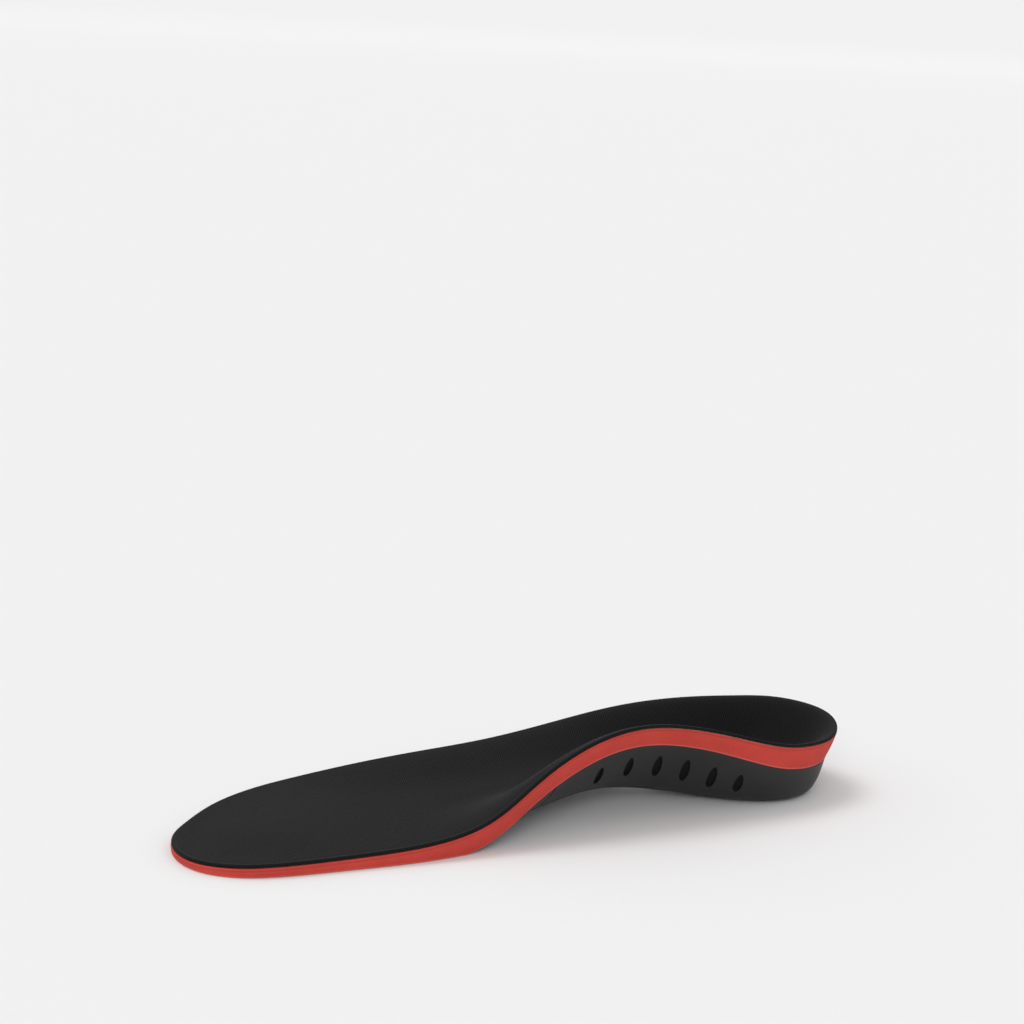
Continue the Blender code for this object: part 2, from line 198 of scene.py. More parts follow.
def on_surface(height, plan):
    """Plan points lifted on a height function, and the surface's upward normals by central differences."""
    x, y = plan[..., 0], plan[..., 1]
    step = 0.05
    slope_x = (height(x + step, y) - height(x - step, y)) / (2 * step)
    slope_y = (height(x, y + step) - height(x, y - step)) / (2 * step)
    normal = np.stack([-slope_x, -slope_y, np.ones_like(slope_x)], axis=-1)
    normal /= np.linalg.norm(normal, axis=-1, keepdims=True)
    return np.stack([x, y, height(x, y)], axis=-1), normal


def smoothstep(t):
    """0 below 0, 1 above 1, and 3t^2 - 2t^3 between."""
    t = np.clip(t, 0.0, 1.0)
    return t * t * (3 - 2 * t)


def shell_front_x(y):
    """The x of the arch shell's front edge at y."""
    edge = smooth_line(SHELL_FRONT, 400, closed=False)
    order = np.argsort(edge[:, 1])
    return np.interp(y, edge[order, 1], edge[order, 0])


def inside_by(plan, outline):
    """How far plan points lie inside a closed outline, negative outside, to the nearest outline point."""
    flat = plan.reshape(-1, 2)
    depth = np.empty(len(flat))
    a, b = outline, np.roll(outline, -1, axis=0)
    for part in np.array_split(np.arange(len(flat)), max(1, len(flat) // 4000)):
        x, y = flat[part, 0, None], flat[part, 1, None]
        crosses = (a[:, 1] > y) != (b[:, 1] > y)
        rise = np.where(a[:, 1] == b[:, 1], 1.0, b[:, 1] - a[:, 1])
        meets = a[:, 0] + (y - a[:, 1]) / rise * (b[:, 0] - a[:, 0])
        inside = np.sum(crosses & (x < meets), axis=1) % 2 == 1
        near = np.sqrt(np.min((a[:, 0] - x) ** 2 + (a[:, 1] - y) ** 2, axis=1))
        depth[part] = np.where(inside, near, -near)
    return depth.reshape(plan.shape[:-1])


def rays(fan_count, spine_count):
    """Starts on the middle line and ends on the rim, fanned at heel and toes and straight across between."""
    xs = np.linspace(HEEL_CENTRE[0], TOE_CENTRE[0], spine_count + 2)[1:-1]
    fan = np.radians(np.linspace(-90.0, 90.0, fan_count))
    heel = HEEL_CENTRE + np.stack([np.cos(fan), np.sin(fan)], axis=1)
    toes = TOE_CENTRE - np.stack([np.cos(fan), np.sin(fan)], axis=1)
    outer = np.stack([xs, middle_line(xs) + 1], axis=1)
    inner = np.stack([xs, middle_line(xs) - 1], axis=1)[::-1]
    towards = np.vstack([heel, outer, toes, inner])
    return towards_rim(towards[:, 0], towards[:, 1])


def body(name, grid, fold=False, cloth_map=None, marks=None):
    """A closed mesh from grid[ray, step, xyz]: rays run round it, steps run over the top, down the edge and
    back under it. fold joins the last step to the first. Points at one place become one point.
    cloth_map[ray, step, uv] becomes a UV map, and each of marks a number at every point."""
    count, steps = grid.shape[:2]
    number = np.arange(count * steps).reshape(count, steps)
    beside = np.roll(number, -1, axis=0)
    if fold:
        here, after = number, np.roll(number, -1, axis=1)
        beside_after = np.roll(beside, -1, axis=1)
    else:
        here, after, beside_after, beside = number[:, :-1], number[:, 1:], beside[:, 1:], beside[:, :-1]
    quads = np.stack([here, after, beside_after, beside], axis=-1).reshape(-1, 4)
    data = bpy.data.meshes.new(name)
    data.from_pydata((grid.reshape(-1, 3) + (0.0, HEEL_LINE_Y, 0.0)) * MM, [], quads)
    for mark, value in (marks or {}).items():
        layer = data.attributes.new(mark, "FLOAT", "POINT")
        layer.data.foreach_set("value", np.broadcast_to(value, (count, steps)).astype(np.float32).ravel())
    if cloth_map is not None:
        uv = data.uv_layers.new(name="cut")
        uv.data.foreach_set("uv", (cloth_map.reshape(-1, 2)[quads.ravel()] * MM).astype(np.float32).ravel())
    mesh = bmesh.new()
    mesh.from_mesh(data)
    bmesh.ops.remove_doubles(mesh, verts=mesh.verts, dist=1e-6)
    mesh.to_mesh(data)
    mesh.free()
    data.shade_smooth()
    obj = bpy.data.objects.new(name, data)
    bpy.context.scene.collection.objects.link(obj)
    return obj


def add(tree, kind, inputs=(), **settings):
    """A shader node with its settings, its inputs linked from sockets or set to values."""
    made = tree.nodes.new(f"ShaderNode{kind}")
    for key, value in settings.items():
        setattr(made, key, value)
    for key, value in dict(inputs).items():
        if isinstance(value, bpy.types.NodeSocket):
            tree.links.new(value, made.inputs[key])
        else:
            made.inputs[key].default_value = value
    return made


def ramp(tree, factor, stops):
    """A colour ramp through (position, colour) stops."""
    made = add(tree, "ValToRGB", {"Fac": factor})
    elements = made.color_ramp.elements
    while len(elements) < len(stops):
        elements.new(0.5)
    for element, (position, colour) in zip(elements, stops):
        element.position = position
        element.color = (*colour, 1.0)
    return made.outputs["Color"]


def tinted(tree, colour, share, tint):
    """A colour mixed towards a fixed tint by a share."""
    mixed = add(tree, "Mix", {0: share, 6: colour, 7: (*tint, 1.0)}, data_type="RGBA")
    return mixed.outputs[2]


def arithmetic(tree, operation, *values):
    """One Math node."""
    return add(tree, "Math", enumerate(values), operation=operation).outputs[0]


def summed(tree, *terms):
    """The sum of (socket, weight) terms."""
    weighted = [arithmetic(tree, "MULTIPLY", socket, weight) for socket, weight in terms]
    total = weighted[0]
    for term in weighted[1:]:
        total = arithmetic(tree, "ADD", total, term)
    return total


def between(tree, factor, low, high):
    """A factor from 0 to 1 spread over the range from low to high."""
    return add(tree, "MapRange", {"Value": factor, "To Min": low, "To Max": high}).outputs["Result"]


def noise(tree, place, scale, detail, **inputs):
    """A Noise texture's factor at a place."""
    values = {"Vector": place, "Scale": scale, "Detail": detail, **inputs}
    return add(tree, "TexNoise", values).outputs["Fac"]


def blank(name, roughness):
    """A new material and its Principled shader."""
    made = bpy.data.materials.new(name)
    made.use_nodes = True
    shader = made.node_tree.nodes["Principled BSDF"]
    shader.inputs["Roughness"].default_value = roughness
    return made, made.node_tree, shader


def bumped(tree, shader, height, depth, strength=1.0):
    """Gives a shader a bump of the given depth in metres."""
    bump = add(tree, "Bump", {"Height": height, "Distance": depth, "Strength": strength})
    tree.links.new(bump.outputs["Normal"], shader.inputs["Normal"])


# SKIN is the gap that the foam leaves to the shell's and the pad's outer surfaces, and FOAM_RISE lifts its
# upper surface to the film. The band's bulge, pressed line and lower skin are each a height and, for the
# last two, a distance from the band's own edge and a half width.
SEAT_DEPTH = 2.3
SKIN = 0.12
FOAM_RISE = 0.3
POCKET_DEPTH = 2.0
STEP_START = 0.4
SEAT_STEP = 2.0
POCKET_STEP = 1.5
BAND_STEPS = 44
BAND_BULGE = 0.32
PRESSED_LINE = (0.16, 1.0, 0.22)
LOWER_SKIN = (0.16, 0.3, 0.24)

starts, ends = rays(61, 240)
span = np.linalg.norm(ends[:, :2] - starts, axis=1)
top_rings = np.concatenate([np.linspace(0.0, 0.9, 24), np.linspace(0.9, 1.0, 13)[1:]])
top_plan = starts[:, None] + (ends[:, None, :2] - starts[:, None]) * top_rings[:, None]
top_place, top_normal = on_surface(top_height, top_plan)
foam_top = top_place + top_normal * FOAM_RISE

sole_rings = np.concatenate([np.linspace(0.0, 0.8, 36), np.linspace(0.8, 1.0, 22)[1:]])[::-1]
edge_reach = sole_shrink(starts, ends)[:, None, None]
sole_plan = starts[:, None] + (ends[:, None, :2] - starts[:, None]) * sole_rings[:, None] * edge_reach
sole_place, sole_normal = on_surface(sole_height, sole_plan)
behind_front = sole_plan[..., 0] - shell_front_x(sole_plan[..., 1])
seat = (SEAT_DEPTH - SKIN) * smoothstep((behind_front - STEP_START) / SEAT_STEP)
forefoot_outline = smooth_line(FOREFOOT_PAD, 500, closed=True)
in_pocket = inside_by(sole_plan, forefoot_outline)
pocket = (POCKET_DEPTH - SKIN) * smoothstep((in_pocket - STEP_START) / POCKET_STEP)
foam_sole = sole_place + sole_normal * (SKIN + seat + pocket)[..., None]

# The side band runs from the rim down to the sole's edge, bulging a little; the pressed line lies 1 mm below
# the cloth and the thin skin stands out at the bottom.
band_top, band_foot = foam_top[:, -1], sole_place[:, 0] + sole_normal[:, 0] * SKIN
band_height = np.linalg.norm(band_foot - band_top, axis=1)[:, None]
t = (0.5 - 0.5 * np.cos(np.linspace(0.0, math.pi, BAND_STEPS)))[None, 1:-1] * np.ones((len(starts), 1))
down = t * band_height
outward = ends[:, :2] - starts
outward = np.concatenate([outward / span[:, None], np.zeros((len(starts), 1))], axis=1)
bulge = (
    BAND_BULGE * np.sin(math.pi * t)
    - PRESSED_LINE[0] * np.exp(-(((down - PRESSED_LINE[1]) / PRESSED_LINE[2]) ** 2))
    + LOWER_SKIN[0] * np.exp(-(((band_height - down - LOWER_SKIN[1]) / LOWER_SKIN[2]) ** 2))
)
foam_band = band_top[:, None] + (band_foot - band_top)[:, None] * t[..., None]
foam_band = foam_band + outward[:, None] * bulge[..., None]
ledge = np.linspace(0.0, 1.0, 4)[None, 1:-1, None] * seat[:, :1, None]
foam_ledge = band_foot[:, None] + sole_normal[:, :1] * ledge
foam_grid = np.concatenate([foam_top, foam_band, foam_ledge, foam_sole], axis=1)

mark_shape = foam_grid.shape[:2]
skin_highlight_mark = np.zeros(mark_shape)
crease_shade_mark = np.zeros(mark_shape)
in_band = slice(foam_top.shape[1], foam_top.shape[1] + t.shape[1])
# Painted highlight: a lighter line on the thin skin's lip at the bottom of the band.
skin_highlight_mark[:, in_band] = np.exp(-(((band_height - down - 0.2) / 0.28) ** 2))
# Painted shade: a darker line in the pressed crease just under the cloth.
crease_shade_mark[:, in_band] = np.exp(-(((down - 0.9) / 0.35) ** 2))
foam = body("foam_base", foam_grid, marks={"painted_skin_highlight": skin_highlight_mark, "painted_crease_shade": crease_shade_mark})

red_foam, tree, shader = blank("red_closed_cell_foam", 0.72)
place = add(tree, "TexCoord").outputs["Object"]
cells = add(tree, "TexVoronoi", {"Vector": place, "Scale": 1900.0, "Randomness": 1.0}).outputs["Distance"]
mottle = noise(tree, place, 90.0, 4.0, Roughness=0.6)
grain = noise(tree, place, 2600.0, 2.0)
tone = summed(tree, (mottle, 0.55), (grain, 0.45))
colour = ramp(tree, tone, [
    (0.3, (0.44, 0.043, 0.032)), (0.52, (0.512, 0.052, 0.039)), (0.75, (0.58, 0.067, 0.052)),
])
crease_shade = add(tree, "Attribute", attribute_name="painted_crease_shade").outputs["Fac"]
skin_highlight = add(tree, "Attribute", attribute_name="painted_skin_highlight").outputs["Fac"]
# Painted shade darkens the foam in the pressed crease under the cloth.
colour = tinted(tree, colour, arithmetic(tree, "MULTIPLY", crease_shade, 0.28), (0.25, 0.02, 0.018))
# A painted highlight lightens the foam on the lower skin's lip.
colour = tinted(tree, colour, arithmetic(tree, "MULTIPLY", skin_highlight, 0.55), (0.72, 0.16, 0.13))
tree.links.new(colour, shader.inputs["Base Color"])
tree.links.new(between(tree, mottle, 0.62, 0.82), shader.inputs["Roughness"])
shader.inputs["Specular IOR Level"].default_value = 0.18
bumped(tree, shader, summed(tree, (cells, 0.6), (grain, 0.4)), 0.00008, 0.6)
foam.data.materials.append(red_foam)

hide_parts("foam_base_rear", "foam_base_toe")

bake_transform(foam)

# ---------------------------------------------------------------------------------------------------------
# Arch shell: a 1.8 mm moulding of dark, semi-rigid elastomer that wraps the foam's underside from the heel
# cup to just behind the ball of the foot. It has a window for the heel pad, a row of six blind oval vents
# on the inner flank, and shallow moulded lines, all with painted shade in their recesses. It is bonded to the
# foam.

SHELL_THICKNESS = 1.8
SHELL_EDGE = 0.45
SHELL_CENTRE = np.array([82.0, 5.0])
HEEL_PAD = (
    (114, 1), (108, -8.5), (96, -14.2), (84, -13.8), (73, -5.5), (62, 1.2), (53, 5.5), (50.5, 12),
    (56, 19.3), (70, 24.5), (86, 25.2), (99, 21), (109, 13),
)
WINDOW_GAP = 0.15


def evenly(line, count):
    """count points spaced evenly along a closed line."""
    around = np.vstack([line, line[:1]])
    length = np.concatenate([[0.0], np.cumsum(np.linalg.norm(np.diff(around, axis=0), axis=1))])
    at = np.linspace(0.0, length[-1], count, endpoint=False)
    return np.stack([np.interp(at, length, column) for column in around.T], axis=1)


def grown(outline, by):
    """A closed outline moved outwards by a distance along its normals."""
    tangent = np.roll(outline, -1, axis=0) - np.roll(outline, 1, axis=0)
    tangent /= np.linalg.norm(tangent, axis=1, keepdims=True)
    x, y = outline.T
    turn = np.sign(np.sum(x * np.roll(y, -1) - y * np.roll(x, -1)))
    return outline + by * turn * np.stack([tangent[:, 1], -tangent[:, 0]], axis=1)


def seen_from(centre, outline, angles):
    """The outline's points in the given directions from a centre inside it."""
    turn = np.arctan2(outline[:, 1] - centre[1], outline[:, 0] - centre[0])
    order = np.argsort(turn)
    turn, around = turn[order], outline[order].T
    return np.stack([np.interp(angles, turn, column, period=2 * math.pi) for column in around], axis=1)


def rounded_wall(low, high, radius, count):
    """(tangential shift, offset) pairs down an edge from offset high to low, its two corners rounded."""
    arc = np.linspace(0.0, math.pi / 2, count)
    upper = np.stack([radius * (np.sin(arc) - 1), high - radius * (1 - np.cos(arc))], axis=1)
    lower = np.stack([radius * (np.cos(arc) - 1), low + radius * (1 - np.sin(arc))], axis=1)
    return np.vstack([upper, lower])


def edge_points(place, normal, inner, outer, wall):
    """An edge's profile carried round a line on a surface: each point is the line's point moved by the
    profile's shift along the surface, from inner towards outer, and by its offset along the normal."""
    away = outer - inner
    away -= normal * np.sum(away * normal, axis=-1, keepdims=True)
    away /= np.linalg.norm(away, axis=-1, keepdims=True)
    return place[:, None] + away[:, None] * wall[:, 0, None] + normal[:, None] * wall[:, 1, None]


sole_edge = (starts[:, None] + (ends[:, None, :2] - starts[:, None]) * edge_reach)[:, 0]
front = smooth_line(SHELL_FRONT, 600, closed=False)
behind = sole_edge[:, 0] > shell_front_x(sole_edge[:, 1])
covered = np.roll(sole_edge, -int(np.argmax(behind & ~np.roll(behind, 1))), axis=0)[:int(behind.sum())]
ahead_of = towards_rim(front[:, 0], front[:, 1])
front_ring = np.linalg.norm(front - ahead_of[0], axis=1) / (
    np.linalg.norm(ahead_of[1][:, :2] - ahead_of[0], axis=1) * sole_shrink(*ahead_of)
)
shell_outline = evenly(np.vstack([covered, front[front_ring < 0.995]]), 760)
heel_outline = evenly(smooth_line(HEEL_PAD, 400, closed=True), 400)
angles = np.arctan2(shell_outline[:, 1] - SHELL_CENTRE[1], shell_outline[:, 0] - SHELL_CENTRE[0])
window_outline = seen_from(SHELL_CENTRE, grown(heel_outline, WINDOW_GAP), angles)

near_share = SHELL_EDGE / np.linalg.norm(shell_outline - window_outline, axis=1)[:, None, None]
across = 0.5 - 0.5 * np.cos(np.linspace(0.0, math.pi, 52))
across = 0.55 * across + 0.45 * np.linspace(0.0, 1.0, 52)
across = (near_share + (1 - 2 * near_share) * across[:, None])
shell_plan = window_outline[:, None] + (shell_outline - window_outline)[:, None] * across
shell_place, shell_normal = on_surface(sole_height, shell_plan)
rim_place, rim_normal = on_surface(sole_height, shell_outline)
window_place, window_normal = on_surface(sole_height, window_outline)
wall = rounded_wall(0.0, SHELL_THICKNESS, SHELL_EDGE, 5)
shell_grid = np.concatenate([
    (shell_place + shell_normal * SHELL_THICKNESS)[:, ::2],
    edge_points(rim_place, rim_normal, shell_place[:, -2], rim_place, wall),
    shell_place[:, ::-1],
    edge_points(window_place, window_normal, shell_place[:, 2], window_place, wall)[:, ::-1],
], axis=1)
shell = body("arch_shell_moulding", shell_grid, fold=True)

# The vents and moulded lines are cut with closed tools: ovals that stand in the flank, and thin rods along
# lines on the underside whose ends taper to a point. The vents' spacing grows towards the toes, their length
# falls off and the row bows outwards with the square of the way from LONGEST_AT. VENT_LAYERS gives each layer
# of an oval: its height out of the flank in vent depths, and its share of the oval's size.
VENT_COUNT = 6
VENT_WIDTH = 3.3
VENT_DEPTH = 1.35
VENT_LONGEST = 15.6
VENT_SHORTENING = 12.0
LONGEST_AT = 0.7
FIRST_VENT_X = 78.3
VENT_RUN = (48.0, 9.4)
VENT_ROW_Y = -22.7
VENT_ROW_BOW = 11.5
VENT_LEAN = (13.0, 11.0)
LEAN_TURN = 0.75 * math.pi
VENT_LAYERS = ((1.6, 0.0), (1.6, 1.06), (-0.75, 0.96), (-1.0, 0.72), (-1.0, 0.0))
LINE_RADIUS = 0.3
RING_CENTRE = (52.0, -4.7)
RING_SIZES = ((6.3, 4.5), (4.2, 2.9), (1.9, 1.3))
RING_RADIUS = 0.22
TICK_CENTRE = (86.0, 2.0)
TICK_REACH = (31.5, 34.5)
TICK_LEANS = np.radians(np.linspace(-34.0, 34.0, 11))
TICK_RADIUS = 0.25
MOULDED_LINES = (
    ((12, 42), (14.8, 31.6), (4, 30.7), (-9.3, 26.1), (-20, 20.2), (-24.8, 12.9), (-26.2, 6.8), (-24.6, 1.4),
     (-18.8, -3.4), (-11.4, -11.7), (-5.6, -22.3), (-3.2, -29.1), (-3.2, -42)),
    ((-41, -1), (-36.1, -5), (-27.1, -12), (-20, -19.9), (-15.9, -28.5), (-14, -43)),
    ((-44, -12), (-37.8, -16.5), (-29.7, -24.7), (-27, -30.9), (-24.8, -46)),
)


def rod(plan, radius, closed, sides=8):
    """Points of a round rod whose centre line follows plan points on the underside.

    The circle at each point is radius times (cosine x sideways + sine x normal); an open rod's radius
    falls to nothing over its last points.
    """
    place, normal = on_surface(sole_height, plan)
    tangent = np.roll(place, -1, axis=0) - np.roll(place, 1, axis=0) if closed else np.gradient(place, axis=0)
    tangent /= np.linalg.norm(tangent, axis=1, keepdims=True)
    sideways = np.cross(tangent, normal)
    turn = np.linspace(0.0, 2 * math.pi, sides, endpoint=False)[None, :, None]
    size = np.full(len(plan), radius)
    if not closed:
        size *= np.sqrt(np.clip(np.minimum(np.arange(len(plan)), np.arange(len(plan))[::-1]) / 3, 0, 1))
    circle = np.cos(turn) * sideways[:, None] + np.sin(turn) * normal[:, None]
    return place[:, None] + size[:, None, None] * circle


def oval(x, y, length, lean):
    """Points of a blunt oval that stands in the flank and keeps one depth: an ellipse laid out in the plane
    that touches the flank, dropped onto it, with layers shrunk towards its floor."""
    normal = on_surface(sole_height, np.array([x, y]))[1]
    up = np.array([math.sin(lean), -math.cos(lean), 0.0])
    up[2] = -up.dot(normal) / normal[2]
    up /= np.linalg.norm(up)
    side = np.cross(up, normal)
    turn = np.linspace(0.0, 2 * math.pi, 40, endpoint=False)[:, None]
    depth, size = np.array(VENT_LAYERS).T[:, None]
    depth = depth * VENT_DEPTH
    ring = np.cos(turn)[..., None] * side * VENT_WIDTH / 2 + np.sin(turn)[..., None] * up * length / 2
    place, normal = on_surface(sole_height, np.array([x, y]) + (ring * size[..., None])[..., :2])
    return place - depth[..., None] * normal


tools = []
for number in range(VENT_COUNT):
    share = number / (VENT_COUNT - 1)
    vent_x = FIRST_VENT_X - VENT_RUN[0] * share - VENT_RUN[1] * share**2
    vent_y = VENT_ROW_Y - VENT_ROW_BOW * (share - LONGEST_AT) ** 2
    length = VENT_LONGEST - VENT_SHORTENING * (share - LONGEST_AT) ** 2
    lean = -math.radians(VENT_LEAN[0] + VENT_LEAN[1] * math.sin(LEAN_TURN * share))
    tools.append(body("vent", oval(vent_x, vent_y, length, lean)))
for line in MOULDED_LINES:
    tools.append(body("line", np.swapaxes(rod(smooth_line(line, 160, False), LINE_RADIUS, False), 0, 1)))
loop = np.linspace(0.0, 2 * math.pi, 72, endpoint=False)
for half_x, half_y in RING_SIZES:
    ring_plan = RING_CENTRE + np.stack([half_x * np.cos(loop), half_y * np.sin(loop)], axis=1)
    tools.append(body("ring", rod(ring_plan, RING_RADIUS, True), fold=True))
for lean in TICK_LEANS:
    radial = np.linspace(*TICK_REACH, 9)[:, None] * np.array([math.cos(lean), math.sin(lean)])
    tools.append(body("tick", np.swapaxes(rod(radial + TICK_CENTRE, TICK_RADIUS, False), 0, 1)))

# A near-black material for the cut faces of the vents and moulded lines: painted shade in their recesses,
# darker than the shell's own colour.
vent_painted_shade, tree, shader = blank("painted_recess_shade", 0.8)
place = add(tree, "TexCoord").outputs["Object"]
specks = noise(tree, place, 900.0, 2.0)
colour = ramp(tree, specks, [(0.3, (0.004, 0.004, 0.004)), (0.7, (0.008, 0.008, 0.0085))])
tree.links.new(colour, shader.inputs["Base Color"])
shader.inputs["Specular IOR Level"].default_value = 0.2

cutter = bpy.data.meshes.new("shell_tools")
joined = bmesh.new()
for tool in tools:
    joined.from_mesh(tool.data)
    bpy.data.objects.remove(tool)
bmesh.ops.recalc_face_normals(joined, faces=joined.faces)
joined.to_mesh(cutter)
joined.free()
cutter.materials.append(vent_painted_shade)

dark_shell, tree, shader = blank("satin_dark_elastomer", 0.5)
place = add(tree, "TexCoord").outputs["Object"]
cloud = noise(tree, place, 40.0, 5.0, Roughness=0.65)
grain = noise(tree, place, 1800.0, 3.0)
colour = ramp(tree, cloud, [(0.3, (0.0143, 0.0137, 0.0141)), (0.7, (0.0218, 0.0210, 0.0215))])
tree.links.new(colour, shader.inputs["Base Color"])
tree.links.new(between(tree, cloud, 0.42, 0.58), shader.inputs["Roughness"])
shader.inputs["Specular IOR Level"].default_value = 0.3
bumped(tree, shader, grain, 0.00004, 0.5)
shell.data.materials.append(dark_shell)
# The second slot holds the painted shade for the cut recesses.
shell.data.materials.append(vent_painted_shade)

tool_object = bpy.data.objects.new("shell_tools", cutter)
bpy.context.scene.collection.objects.link(tool_object)
boolean = shell.modifiers.new("vents and lines", "BOOLEAN")
boolean.operation = "DIFFERENCE"
boolean.solver = "EXACT"
boolean.material_mode = "TRANSFER"
boolean.object = tool_object
bpy.context.view_layer.update()
evaluated = shell.evaluated_get(bpy.context.evaluated_depsgraph_get())
pierced = bpy.data.meshes.new_from_object(evaluated)
shell.modifiers.clear()
shell.data = pierced
shell.data.shade_smooth()
shell.data.set_sharp_from_angle(angle=math.radians(40))
bpy.data.objects.remove(tool_object)

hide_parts("arch_shell")
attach(shell, "insole")

# ---------------------------------------------------------------------------------------------------------
# Heel and forefoot pads: two cushions of soft white foam with a fine speck, die cut with a rounded rim. The
# heel pad sits in the shell's window and stands a little proud of it; the forefoot pad lies in a pocket in
# the foam, ahead of the shell. Both are bonded in.

HEEL_PAD_CENTRE = np.array([82.0, 6.0])
FOREFOOT_PAD_CENTRE = np.array([-71.0, 1.0])
FOREFOOT_PAD_THICKNESS = 1.5
HEEL_PAD_RIM = 0.6
FOREFOOT_PAD_RIM = 0.45
RIM_STRETCH = 1.6


def pad_body(name, outline, centre, height, low, high, rim):
    """A pad on a height function: from the centre out along the top, down a rounded rim, and back below.

    low and high are its offsets along the surface's normal, and the rim falls away as a quarter ellipse.
    """
    share = np.linspace(0.0, 1.0, 22)[:, None]
    reach = 1 - RIM_STRETCH * rim / np.linalg.norm(outline - centre, axis=1)[:, None, None]
    plan = centre + (outline - centre)[:, None] * share * reach
    place, normal = on_surface(height, plan)
    edge_place, edge_normal = on_surface(height, outline)
    soft = rounded_wall(low, high, rim, 7) * (RIM_STRETCH, 1.0)
    wall = edge_points(edge_place, edge_normal, place[:, -2], edge_place, soft)
    made = np.concatenate([place + normal * high, wall, (place + normal * low)[:, ::-1]], axis=1)
    return body(name, made)


def level(x, y):
    """The flat ground."""
    return np.zeros(np.broadcast(x, y).shape)


def counterclockwise(outline):
    """The outline, turned round if it runs clockwise."""
    x, y = outline.T
    return outline if np.sum(x * np.roll(y, -1) - y * np.roll(x, -1)) > 0 else outline[::-1]


heel_pad = pad_body(
    "heel_cushion", counterclockwise(heel_outline), HEEL_PAD_CENTRE, sole_height, -PAD_PROUD, SHELL_THICKNESS,
    HEEL_PAD_RIM,
)
forefoot_pad = pad_body(
    "forefoot_cushion", counterclockwise(evenly(forefoot_outline, 460)), FOREFOOT_PAD_CENTRE, level, 0.0,
    FOREFOOT_PAD_THICKNESS, FOREFOOT_PAD_RIM,
)

white_pad, tree, shader = blank("white_speckled_foam", 0.62)
place = add(tree, "TexCoord").outputs["Object"]
stretch = add(tree, "Mapping", {"Vector": place, "Rotation": (0.0, 0.0, 0.35), "Scale": (1.0, 2.2, 1.0)})
spots = add(tree, "TexVoronoi", {"Vector": stretch.outputs[0], "Scale": 300.0, "Randomness": 0.9})
haze = noise(tree, place, 120.0, 4.0)
grain = noise(tree, place, 1500.0, 3.0)
fleck = add(tree, "MapRange", {
    "Value": spots.outputs["Distance"], "From Min": 0.0, "From Max": 0.16, "To Min": 0.85, "To Max": 0.0
}).outputs[0]
colour = ramp(tree, haze, [(0.3, (0.80, 0.79, 0.79)), (0.7, (0.90, 0.89, 0.89))])
colour = tinted(tree, colour, arithmetic(tree, "MULTIPLY", fleck, haze), (0.55, 0.54, 0.55))
tree.links.new(colour, shader.inputs["Base Color"])
tree.links.new(between(tree, haze, 0.52, 0.7), shader.inputs["Roughness"])
shader.inputs["Subsurface Weight"].default_value = 0.15
shader.inputs["Subsurface Radius"].default_value = (0.0012, 0.0011, 0.001)
relief = arithmetic(tree, "SUBTRACT", arithmetic(tree, "MULTIPLY", grain, 0.5), fleck)
bumped(tree, shader, relief, 0.00006, 0.6)

for pad, node in ((heel_pad, "heel_pad"), (forefoot_pad, "forefoot_pad")):
    pad.data.materials.append(white_pad)
    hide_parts(node)
    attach(pad, "insole")

# ---------------------------------------------------------------------------------------------------------
# Adhesive films: a thin, milky, heat-activated film bonds the cloth to the whole foam, and two smaller
# pieces bond the shell and the forefoot pad. They stop short of the edges, so no film shows.

FILM_LOW = 0.3
FILM_HIGH = 0.44
FILM_INSET = 0.4

film_share = (1 - FILM_INSET / span)[:, None, None]
film_plan = starts[:, None] + (ends[:, None, :2] - starts[:, None]) * top_rings[::2, None] * film_share
film_place, film_normal = on_surface(top_height, film_plan)
film_under = (film_place + film_normal * FILM_LOW)[:, ::-1]
film = body("cover_film", np.concatenate([film_place + film_normal * FILM_HIGH, film_under], axis=1))

milky, tree, shader = blank("milky_adhesive_film", 0.38)
place = add(tree, "TexCoord").outputs["Object"]
streaks = noise(tree, place, 260.0, 4.0, Distortion=0.6)
colour = ramp(tree, streaks, [(0.3, (0.50, 0.48, 0.43)), (0.7, (0.64, 0.62, 0.56))])
tree.links.new(colour, shader.inputs["Base Color"])
bumped(tree, shader, streaks, 0.00003, 0.5)
film.data.materials.append(milky)
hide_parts("cover_adhesive_rear", "cover_adhesive_toe")
for name in ("shell_adhesive", "forefoot_pad_adhesive"):
    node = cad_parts[name]
    node.data.materials.clear()
    node.data.materials.append(milky)
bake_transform(film)

# ---------------------------------------------------------------------------------------------------------
# Top cover: a 1 mm black twill-faced cloth, cut 4 to 5 mm large all round, bonded flat to the foam before the
# insole is pressed, and trimmed with it, so it follows the cup without a fold. Its cut edge is bare, with a
# faint pressed lip just inside that carries a painted highlight.

# The pressed lip is a shallow groove and a low ridge, each with a height, a distance from the edge and a half
# width. The two sets of threads have a turn from the length and a spacing in metres.
COVER_LOW = 0.45
COVER_HIGH = 1.6
COVER_EDGE = 0.45
LIP_GROOVE = (0.05, 2.1, 0.45)
LIP_RIDGE = (0.03, 1.1, 0.5)
LIP_HIGHLIGHT_WIDTH = 0.7
TWILL = (math.radians(38), 0.00082)
FLOATS = (math.radians(-52), 0.00105)
WAVER = 0.00022

